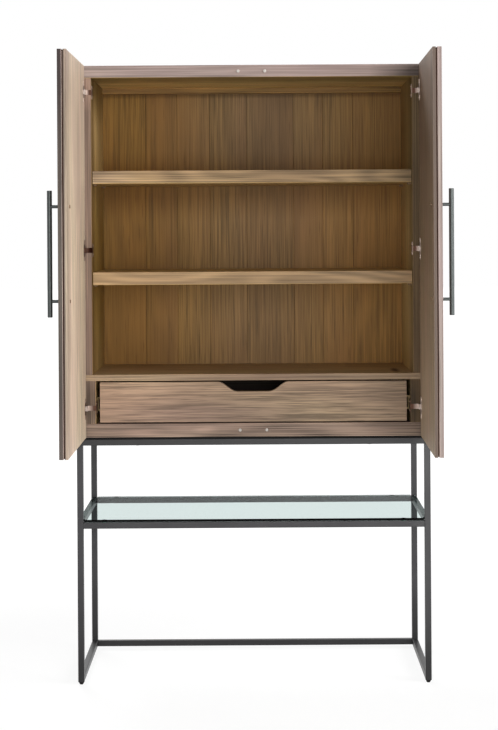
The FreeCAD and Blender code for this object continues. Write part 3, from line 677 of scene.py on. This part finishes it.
class CABINET_OT_case(bpy.types.Operator):
    """Boards of the case: top, bottom, sides, divider, back and its rail"""
    bl_idname = "cabinet.case"
    bl_label = "Case"

    def execute(self, context):
        arris = context.scene.cabinet_sizes.arris
        wood = context.scene.cabinet_wood
        outside = oak("oiled oak outside, level grain", wood.outside, X)
        outside_z = oak("oiled oak outside, upright grain", wood.outside, Z)
        ends = oak("oiled oak edging on the ends", np.array(wood.outside) * 0.9, Y)
        low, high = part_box("bottom_board")
        pale = [
            ((x, low[Y], z), (wide, 0.05, tall), (1.3, 1.28, 1.28))
            for x, z, wide, tall in (
                (-0.285, 0.653, 0.06, 0.012), (-0.20, 0.667, 0.07, 0.009),
                (-0.125, 0.658, 0.04, 0.013),
            )
        ]
        bottom = oak(
            "oiled oak bottom board", wood.bottom, X, contrast=1.1, figure=0.16, rings=6.0,
            marks=pale,
        )
        piece(
            "bottom_board_oak", ["bottom_board"], [board((low, high), X, arris)],
            [bottom] * 4 + [ends],
        )
        low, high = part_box("top_board")
        # Painted shadow under the front edge of the top and painted light towards the back of its underside, whose
        # arrises are darker as painted shade
        marks = [
            ((0.0, low[Y] + 0.05, low[Z]), (ALL, 0.15, ALL), (0.46, 0.42, 0.35)),
            ((0.0, low[Y] + 0.36, low[Z]), (ALL, 0.20, ALL), (1.25, 1.25, 1.30)),
        ]
        under = oak("oiled oak under the top", wood.underside, X, fine=1.3, edge=0.8, marks=marks)
        # Painted shadow of the right door with darker wood at the top front's right end, and painted shade over
        # its left part
        dim = ((high[X], low[Y], (low[Z] + high[Z]) / 2), (0.15,) * 3, (0.4,) * 3)
        painted_left_shade = ((-0.35, low[Y], low[Z]), (0.6, ALL, ALL), (0.87, 0.88, 0.91))
        front = oak("oiled oak top front", wood.outside, X, marks=[dim, painted_left_shade])
        piece(
            "top_board_oak", ["top_board"], [board((low, high), X, arris)],
            [under, outside, outside, front, ends],
        )
        (in_left, step, _), (in_right, *_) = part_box("back_boards")
        for side, (edge_marks, inner_marks, gap_painted_light) in SIDES.items():
            tone = getattr(wood, "side_" + side)
            edge = oak(f"oiled oak {side} front edges", tone, Z, marks=edge_marks)
            tone = np.array(getattr(wood, "in_" + side))
            inners = {
                "upper": oak(f"oiled oak {side} inner side", tone, Z, marks=inner_marks),
                # Painted lighter as painted light, with painted shade at the front
                "lower": oak(
                    f"oiled oak {side} side by the drawer", tone * gap_painted_light, Z, edge=0.9,
                    marks=[((0.0, 0.02, 0.72), (ALL, 0.06, ALL), (0.44, 0.42, 0.46))],
                ),
            }
            for level, inner in inners.items():
                node = f"{level}_side_{side}"
                (x0, y0, z0), (x1, y1, z1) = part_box(node)
                if side == "left":
                    corners = [
                        (x0, y0), (x1, y0), (x1, step), (in_left, step), (in_left, y1), (x0, y1),
                    ]
                    finishes = [edge] + [inner] * 2 + [outside_z] * 4
                else:
                    corners = [
                        (x0, y0), (x1, y0), (x1, y1), (in_right, y1), (in_right, step), (x0, step),
                    ]
                    finishes = [edge] + [outside_z] * 3 + [inner] * 2 + [outside_z]
                piece(node + "_oak", [node], [carried(corners, Z, z0, z1, arris)], finishes)
        (x0, y0, z0), (x1, y1, z1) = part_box("divider_board")
        corners = [
            (x0, y0), (x1, y0), (x1, y1), (in_right, y1), (in_right, step), (in_left, step),
            (in_left, y1), (x0, y1),
        ]
        knot = ((0.374, y0 + 0.1, z1), (0.014, 0.09, 0.02), (0.15, 0.1, 0.1))
        edge = oak("oiled oak divider edge", wood.divider, X)
        face = oak("oiled oak divider", wood.shelf, X, marks=[knot])
        piece(
            "divider_board_oak", ["divider_board"], [carried(corners, Z, z0, z1, arris)],
            [edge, ends] + [outside] * 5 + [ends, face],
        )
        self.back(wood, context.scene.cabinet_sizes.back_joint)
        # Rubbed arrises, lightened further as a painted highlight
        rail = oak("oiled oak rail", wood.rail, X, edge=1.6)
        piece("rear_cleat_oak", ["rear_cleat"], [board(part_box("rear_cleat"), X, arris)], [rail])
        return {"FINISHED"}

    def back(self, wood, ease):
        """Upright boards of mixed widths with a small hollow at each joint."""
        low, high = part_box("back_boards")
        # Widths from left to right, as shares of the whole
        shares = np.array([0.150, 0.104, 0.107, 0.121, 0.154, 0.096, 0.099, 0.169])
        edges = low[X] + (high[X] - low[X]) * np.append(0, np.cumsum(shares) / shares.sum())
        parts = [
            board(((x0, low[Y], low[Z]), (x1, high[Y], high[Z])), Z, ease)
            for x0, x1 in zip(edges[:-1], edges[1:])
        ]
        # Yellower at the left, painted light at the right, painted shade high up at the right, and a painted
        # shadow under the upper shelf and under the rail
        marks = [
            ((low[X], low[Y], 1.1), (0.38, ALL, ALL), (1.06, 0.93, 0.46)),
            ((high[X], low[Y], 1.1), (0.36, ALL, ALL), (1.25, 1.12, 0.72)),
            ((0.15, low[Y], 1.5), (0.55, ALL, 0.3), (0.82, 0.86, 0.95)),
            ((-0.25, low[Y], 1.295), (1.2, ALL, 0.10), (0.76, 0.68, 0.50)),
            ((0.0, low[Y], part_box("rear_cleat")[0][Z]), (ALL, ALL, 0.014), (0.6, 0.54, 0.4)),
        ]
        # The tints and painted light at both sides take the blue out again
        front = oak(
            "oiled oak back boards", np.array(wood.back) * (0.95, 1.02, 1.30, 1.0), Z,
            contrast=0.75, fine=0.8, dash=1.5, fringe=0.0012, edge=0.5, marks=marks,
        )
        rear = oak("bare oak back boards", wood.outside, Z, contrast=0.8, edge=0.6)
        piece("back_boards_oak", ["back_boards"], parts, [front, front, rear, front, rear])


class CABINET_OT_shelves(bpy.types.Operator):
    """Loose shelves and their pins"""
    bl_idname = "cabinet.shelves"
    bl_label = "Shelves"

    def execute(self, context):
        arris = context.scene.cabinet_sizes.arris
        wood = context.scene.cabinet_wood
        pale = ((-0.413, 0.03, 1.31), (0.13, ALL, 0.05), (1.05, 1.10, 1.28))
        edge = oak(
            "oiled oak shelf front", wood.shelf, X, contrast=1.3, figure=0.08, rings=14.0,
            marks=[pale],
        )
        face = oak("oiled oak shelf face", wood.shelf_face, X)
        for node in ("upper_shelf", "lower_shelf"):
            part = board(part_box(node), X, arris)
            piece(node + "_oak", [node], [part], [face, face, face, edge, face])
        bronze = plated("bronzed pins", context.scene.cabinet_metal.pin, rough=0.45)
        dress(bronze, "shelf_pins")
        return {"FINISHED"}


# Drawer

class CABINET_OT_drawer(bpy.types.Operator):
    """Drawer front with its finger cut-out, the box and the slides"""
    bl_idname = "cabinet.drawer"
    bl_label = "Drawer"

    def execute(self, context):
        sizes = context.scene.cabinet_sizes
        wood = context.scene.cabinet_wood
        low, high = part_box("drawer_front")
        # Each side of the grip is a cubic curve that leaves the top edge and the floor level
        t = np.linspace(0, 1, 15)[:, None]
        top, floor = high[Z], high[Z] - sizes.grip_depth
        out, into = sizes.grip_half_top, sizes.grip_half_bottom
        poles = np.array([(top, out), (top, out - 0.020), (floor, into + 0.0235), (floor, into)])
        bend = (
            (1 - t) ** 3 * poles[0] + 3 * (1 - t) ** 2 * t * poles[1]
            + 3 * (1 - t) * t ** 2 * poles[2] + t ** 3 * poles[3]
        )
        grip = np.concatenate([bend * (1, -1), bend[::-1]])
        corners = np.concatenate([
            [(low[Z], low[X]), (top, low[X])], grip, [(top, high[X]), (low[Z], high[X])],
        ])
        part = carried(corners, Y, low[Y], high[Y], sizes.arris, bends=2)
        # Lighter at the left, darker in a low band, and painted shade from the right door at the right end
        marks = [
            ((-0.40, 0.02, 0.73), (0.35, ALL, 0.2), (1.03, 0.99, 1.03)),
            ((-0.12, 0.02, 0.695), (0.32, ALL, 0.05), (0.80, 0.80, 0.86)),
            ((0.41, 0.02, 0.73), (0.16, ALL, ALL), (0.84, 0.86, 0.88)),
        ]
        front = oak(
            "oiled oak drawer front", wood.drawer, X, contrast=0.9, broad=0.15, fine=1.3,
            dash=2.2, marks=marks,
        )
        piece("drawer_front_oak", ["drawer_front"], [part], [front])
        # Painted shade: the box is darkened so the cut-out and the gaps show near black
        sides = oak("dark stained oak drawer sides", wood.box, Y)
        level = oak("dark stained oak drawer back and base", wood.box, X)
        for name, axis, finish in (
            ("side_left", Y, sides), ("side_right", Y, sides), ("back", X, level),
            ("base", X, level),
        ):
            node = "drawer_" + name
            piece(node + "_oak", [node], [board(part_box(node), axis, sizes.thin_arris)], [finish])
        metal = context.scene.cabinet_metal
        slide = plated("yellow passivated slides", metal.slide, rough=0.4)
        dress(slide, "slide_outers", "slide_middles", "slide_inners")
        return {"FINISHED"}


# Doors

MIRROR = {"left": 1.0, "right": -1.0}
# Marks on the edges of the outer layers and on the inner faces: a knot, a worn patch high on the
# right door's inside, painted shade near the top of the left door's inside and over the right
# door's inside, painted light low on the right door's inside, and other darker patches. Last, how
# far past the middle of its thickness the edge of the inner layer is dark: half way, and all the way
DOORS = {
    "left": (
        [((-0.45, -0.434, 1.6), (ALL, ALL, 0.35), (0.5, 0.45, 0.5))],
        [
            ((-0.44, -0.355, 1.584), (0.010,) * 3, (0.4,) * 3),
            ((-0.44, -0.2, 1.60), (ALL, ALL, 0.3), (0.84, 0.82, 0.84)),
            ((-0.44, -0.434, 1.1), (ALL, 0.10, ALL), (0.70, 0.69, 0.70)),
        ],
        -0.0015,
    ),
    "right": (
        [((0.4465, -0.434, 1.1), (0.009, ALL, ALL), (0.66, 0.64, 0.64))],
        [
            ((0.45, -0.2, 1.58), (0.7,) * 3, (0.5, 0.46, 0.46)),
            ((0.44, -0.36, 1.60), (ALL, 0.14, 0.06), (1.45, 1.48, 1.55)),
            ((0.44, -0.36, 1.45), (ALL, 0.25, 0.20), (0.84, 0.82, 0.80)),
            ((0.44, -0.3, 0.64), (ALL, ALL, 0.45), (1.22, 1.24, 1.28)),
        ],
        1.0,
    ),
}


def shut_box(node):
    """A left door node's box with the door shut, from its box with the door open square."""
    low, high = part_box(node)
    px, py, _ = JOINTS["left_door_hinge"]["pos_m"]
    return (
        (px - (high[Y] - py), py + (low[X] - px), low[Z]),
        (px - (low[Y] - py), py + (high[X] - px), high[Z]),
    )


def turn_of(side):
    """The turn of a door from shut to where it stands, in radians about the upright axis."""
    return math.radians(JOINTS[side + "_door_hinge"]["range_deg"][0]) * MIRROR[side]


def swing(side):
    """How a shut left door's points go to where the door stands, mirrored for the right one."""
    pivot = np.array(JOINTS[side + "_door_hinge"]["pos_m"])
    angle = turn_of(side)

    def move(points):
        from_pivot = points * (MIRROR[side], 1.0, 1.0) - pivot
        c, s = math.cos(angle), math.sin(angle)
        spun = from_pivot @ np.array([[c, s, 0], [-s, c, 0], [0, 0, 1]])
        return spun + pivot, side == "right"

    return move


class CABINET_OT_doors(bpy.types.Operator):
    """Layers of the doors"""
    bl_idname = "cabinet.doors"
    bl_label = "Doors"

    def execute(self, context):
        ease = context.scene.cabinet_sizes.thin_arris
        wood = context.scene.cabinet_wood
        outside = oak("oiled oak door outside", wood.outside, Z)
        core = moulded("stained door core", wood.core, rough=0.7)
        for side, (edge_marks, inner_marks, lip) in DOORS.items():
            move = swing(side)
            edge = oak(
                f"oiled oak door edge, {side}", getattr(wood, "end_" + side), Z,
                contrast=0.6, fringe=0.001, marks=edge_marks,
            )
            piece(
                side + "_door_outer", [side + "_outer_leaf"],
                [board(shut_box("left_outer_leaf"), Z, ease)],
                [outside, edge, outside, edge, edge], move=move,
            )
            piece(
                side + "_door_core", [side + "_core_leaf"],
                [board(shut_box("left_core_leaf"), Z, ease=0.0002)], [core], move=move,
            )
            low, high = (np.array(corner) for corner in shut_box("left_inner_leaf"))
            centre = move((low + high)[None] / 2)[0][0]
            within = (centre, turn_of(side), (high - low) / 2)
            inner = oak(
                f"oiled oak door inside, {side}", getattr(wood, "door_" + side), Z,
                contrast=0.85, fringe=0.0015, marks=inner_marks, rim=(wood.rim, lip),
                within=within,
            )
            leaf = frame["nodes"][side + "_inner_leaf"]
            dress(inner, side + "_inner_leaf")
            # The CAD mesh has a point of its own for each face at a corner
            weld = leaf.modifiers.new("Weld", "WELD")
            weld.merge_threshold = 0.00002
            round_edge = leaf.modifiers.new("Bevel", "BEVEL")
            round_edge.width = ease
            round_edge.segments = 2
            round_edge.limit_method = "ANGLE"
            round_edge.angle_limit = math.radians(50)
            flat_faces(leaf)
        return {"FINISHED"}


class CABINET_OT_hardware(bpy.types.Operator):
    """Handles, hinges, screws and bumpers"""
    bl_idname = "cabinet.hardware"
    bl_label = "Handles and hinges"

    def execute(self, context):
        metal = context.scene.cabinet_metal
        steel = lacquered(
            "satin lacquered handle steel", metal.handle, metal.handle, rough=0.35, metallic=0.6
        )
        # Painted shade on the hinge arms and the left cups where they reach into the case
        dark = (0.16, 0.10, 0.08)
        # Of the hinges, above the floor
        heights = (0.715, 1.123, 1.531)
        painted_hinge_shade = [((-0.43, 0.01, heights[1]), (0.06, 0.06, 0.05), dark)]
        painted_hinge_shade += [
            ((x, 0.02, z), (0.011, 0.05, 0.03), dark) for x in (-0.417, 0.419) for z in heights[1:]
        ]
        painted_hinge_shade += [((x, 0.02, heights[0]), (0.028, 0.05, 0.06), dark) for x in (-0.404, 0.404)]
        nickel = plated("nickel plated hinge arms", metal.nickel, rough=0.4, marks=painted_hinge_shade)
        painted_hinge_shade = [((-0.43, -0.01, z), (0.03, 0.05, 0.05), (0.35, 0.28, 0.25)) for z in heights[:2]]
        cups = plated("nickel plated cups", metal.nickel, rough=0.4, marks=painted_hinge_shade)
        bronze = plated("bronzed screws", metal.screw, rough=0.4)
        low, high = shut_box("left_handle_bar")
        x, y = (low[X] + high[X]) / 2, (low[Y] + high[Y]) / 2
        # A quarter round from the bar's end to its side
        r, ease = (high[X] - low[X]) / 2, 0.0008
        a = np.linspace(0, math.pi / 2, 4)
        lower = np.stack([r - ease + ease * np.sin(a), ease - ease * np.cos(a)], -1)
        upper = np.stack([lower[::-1, 0], high[Z] - low[Z] - lower[::-1, 1]], -1)
        bar = turned(np.concatenate([lower, upper]), (x, y, low[Z]), Z, count=48)
        post_low, post_high = shut_box("left_handle_posts")
        reach, thick = post_high[Y] - post_low[Y], (post_high[X] - post_low[X]) / 2
        # The post, and a thin collar against the door
        collar, eased_from = reach - 0.0012, reach - 0.0003
        shape = [
            (thick, 0.0), (thick, collar), (thick * 1.5, collar), (thick * 1.5, eased_from),
            (thick * 1.4, reach),
        ]
        posts = [
            turned(shape, (x, post_low[Y], z), Y, count=36)
            for z in (post_low[Z] + thick, post_high[Z] - thick)
        ]
        for side in ("left", "right"):
            move = swing(side)
            piece(side + "_bar", [side + "_handle_bar"], [bar], [steel], move=move)
            piece(side + "_posts", [side + "_handle_posts"], posts, [steel], move=move)
            dress(bronze, side + "_handle_screws", side + "_cup_screws")
            dress(cups, side + "_hinge_cups")
        dress(nickel, "hinge_arms")
        dress(bronze, "arm_screws")
        dress(clear("soft clear bumpers", metal.bumper, rough=0.25), "door_bumpers")
        return {"FINISHED"}


# Studio

class CABINET_OT_studio(bpy.types.Operator):
    """Pale floor, soft lamps, white surroundings and the camera"""
    bl_idname = "cabinet.studio"
    bl_label = "Studio"

    def execute(self, context):
        studio = context.scene.cabinet_studio
        self.floor()
        self.surroundings(studio.sky)
        for name, place, size in (
            ("key", (7.0, -3.6, 3.1), (4.5, 4.5)), ("front", (0.8, -4.4, 1.5), (1.6, 1.6)),
            ("low", (0.3, -3.2, 0.75), (4.0, 1.2)), ("back", (-2.0, 4.2, 4.0), (1.6, 1.6)),
        ):
            self.lamp(name + "_lamp", getattr(studio, name), place, size)
        self.camera(studio)
        context.scene.view_settings.view_transform = "Standard"
        return {"FINISHED"}

    def plain_white(self, tree):
        """1 where the camera, a reflection or a view through glass meets the stage."""
        path = add(tree, "LightPath")
        some = add(
            tree, "Math",
            {0: path.outputs["Is Camera Ray"], 1: path.outputs["Is Glossy Ray"]},
            operation="MAXIMUM",
        )
        return add(
            tree, "Math", {0: some, 1: path.outputs["Is Transmission Ray"]}, operation="MAXIMUM"
        )

    def floor(self):
        """A wide flat floor whose shadow fades to plain white further out."""
        mesh = bpy.data.meshes.new("floor")
        reach = 30.0
        mesh.from_pydata(
            [(-reach, -reach, 0), (reach, -reach, 0), (reach, reach, 0), (-reach, reach, 0)],
            [], [(0, 1, 2, 3)],
        )
        finish, tree = blank("pale studio floor")
        spot = add(tree, "TexCoord").outputs["Object"]
        far = add(tree, "VectorMath", {0: spot}, operation="LENGTH").outputs["Value"]
        # The shadow shows to 0.9 m from the middle and is gone at 2.6 m
        bare = add(
            tree, "MapRange",
            {"Value": far, "From Min": 0.9, "From Max": 2.6, "To Min": 0.75, "To Max": 1.0},
            interpolation_type="SMOOTHSTEP",
        )
        share = add(tree, "Math", {0: bare, 1: self.plain_white(tree)}, operation="MULTIPLY")
        matt = add(tree, "BsdfDiffuse", {"Color": grey(0.88)})
        white = add(tree, "Emission", {"Color": grey(1.0), "Strength": 1.15})
        both = add(tree, "MixShader", {0: share, 1: matt, 2: white})
        add(tree, "OutputMaterial", {"Surface": both})
        mesh.materials.append(finish)
        made = bpy.data.objects.new("floor", mesh)
        bpy.context.scene.collection.objects.link(made)

    def surroundings(self, sky):
        """White to the camera, and an even light of the sky's strength on the object."""
        world = bpy.data.worlds.new("studio")
        bpy.context.scene.world = world
        world.use_nodes = True
        tree = world.node_tree
        tree.nodes.clear()
        level = add(tree, "MapRange", {"Value": self.plain_white(tree), "To Min": sky})
        white = add(tree, "Background", {"Color": grey(1.0), "Strength": level})
        add(tree, "OutputWorld", {"Surface": white})

    def lamp(self, name, level, place, size):
        """A soft lamp, so wide and high, that points at the doors' middle and lights a face
        there to its level.

        Its power in watts is the level times the square of pi times the distance."""
        way = np.array((0.0, 0.0, 1.1)) - np.array(place)
        data = bpy.data.lights.new(name, "AREA")
        data.energy = level * (math.pi * np.linalg.norm(way)) ** 2
        data.shape = "RECTANGLE"
        data.size, data.size_y = size
        made = bpy.data.objects.new(name, data)
        made.location = place
        flat = math.hypot(way[0], way[1])
        made.rotation_euler = (math.atan2(flat, -way[2]), 0.0, math.atan2(-way[0], way[1]))
        bpy.context.scene.collection.objects.link(made)

    def camera(self, studio):
        """A level camera in front, its frame slid down and turned a little."""
        data = bpy.data.cameras.new("camera")
        data.sensor_width = 36.0
        data.lens = studio.lens
        # Shares of the picture's longer side
        data.shift_x, data.shift_y = -0.0093, -0.1885
        data.clip_end = 100.0
        made = bpy.data.objects.new("camera", data)
        front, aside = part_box("leg_front_left")[0][Y], 0.0091
        made.location = (aside, front - studio.distance, studio.height)
        made.rotation_mode = "XYZ"
        made.rotation_euler = (math.radians(90), math.radians(studio.roll), 0.0)
        bpy.context.scene.collection.objects.link(made)
        bpy.context.scene.camera = made


OPERATORS = (
    CABINET_OT_stand, CABINET_OT_feet, CABINET_OT_glass, CABINET_OT_case, CABINET_OT_shelves,
    CABINET_OT_drawer, CABINET_OT_doors, CABINET_OT_hardware, CABINET_OT_studio,
)
GROUPS = (
    ("cabinet_wood", CabinetWood), ("cabinet_metal", CabinetMetal),
    ("cabinet_sizes", CabinetSizes), ("cabinet_studio", CabinetStudio),
)


class CABINET_PT_pieces(bpy.types.Panel):
    """Lists the cabinet's pieces and their settings"""
    bl_idname = "CABINET_PT_pieces"
    bl_label = "Bar cabinet"
    bl_space_type = "VIEW_3D"
    bl_region_type = "UI"
    bl_category = "Cabinet"

    def draw(self, context):
        for operator in OPERATORS:
            self.layout.operator(operator.bl_idname)
        for name, group in GROUPS:
            box = self.layout.box()
            for field in group.__annotations__:
                box.prop(getattr(context.scene, name), field)


def register():
    for name, group in GROUPS:
        bpy.utils.register_class(group)
        setattr(bpy.types.Scene, name, bpy.props.PointerProperty(type=group))
    for made in (*OPERATORS, CABINET_PT_pieces):
        bpy.utils.register_class(made)


def unregister():
    for made in (CABINET_PT_pieces, *reversed(OPERATORS)):
        bpy.utils.unregister_class(made)
    for name, group in reversed(GROUPS):
        delattr(bpy.types.Scene, name)
        bpy.utils.unregister_class(group)


def main():
    register()
    for operator in OPERATORS:
        group, name = operator.bl_idname.split(".")
        getattr(getattr(bpy.ops, group), name)()


if __name__ == "__main__":
    main()
